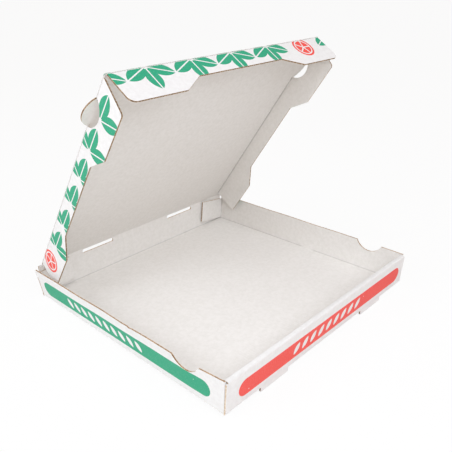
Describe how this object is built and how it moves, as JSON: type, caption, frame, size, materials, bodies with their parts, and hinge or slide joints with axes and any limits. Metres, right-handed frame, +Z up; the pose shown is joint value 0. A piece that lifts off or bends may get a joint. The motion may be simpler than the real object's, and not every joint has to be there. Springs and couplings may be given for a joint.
{
  "type": "pizza box",
  "caption": "Square takeaway pizza box of white-lined fluted board, standing open: shallow folded tray with a roll-over front wall, hinged lid with tuck-in flaps.",
  "frame": {"origin": "middle of the base panel's underside", "axes": "+Z up out of the tray, X along the lid's hinge with +X to the right seen from the front, front wall towards -Y"},
  "size_m": [0.343, 0.3335, 0.3054],
  "materials": {
    "tray_board": "white-lined micro-flute board, matt",
    "lid_board": "white-lined micro-flute board, matt",
    "flap_board": "white-lined micro-flute board, matt, printed outside"
  },
  "bodies": {
    "tray": {"tray": "tray_board"},
    "lid": {"lid_panel": "lid_board"},
    "front_flap": {"lid_front_flap": "flap_board"},
    "left_flap": {"lid_left_flap": "flap_board"},
    "right_flap": {"lid_right_flap": "flap_board"}
  },
  "joints": [
    {"name": "lid_fold", "type": "hinge", "parent": "tray", "child": "lid", "pos_m": [0, 0.1641, 0.043], "axis": [-1, 0, 0], "range_deg": [-53.5, 126.5]},
    {"name": "front_flap_fold", "type": "hinge", "parent": "lid", "child": "front_flap", "pos_m": [0, -0.02565, 0.29943], "axis": [1, 0, 0], "range_deg": [-87, 13]},
    {"name": "left_flap_fold", "type": "hinge", "parent": "lid", "child": "left_flap", "pos_m": [-0.1595, 0.06923, 0.17122], "axis": [0, -0.5948, 0.8039], "range_deg": [-0.5, 60]},
    {"name": "right_flap_fold", "type": "hinge", "parent": "lid", "child": "right_flap", "pos_m": [0.1595, 0.06923, 0.17122], "axis": [0, 0.5948, -0.8039], "range_deg": [-0.5, 60]}
  ]
}
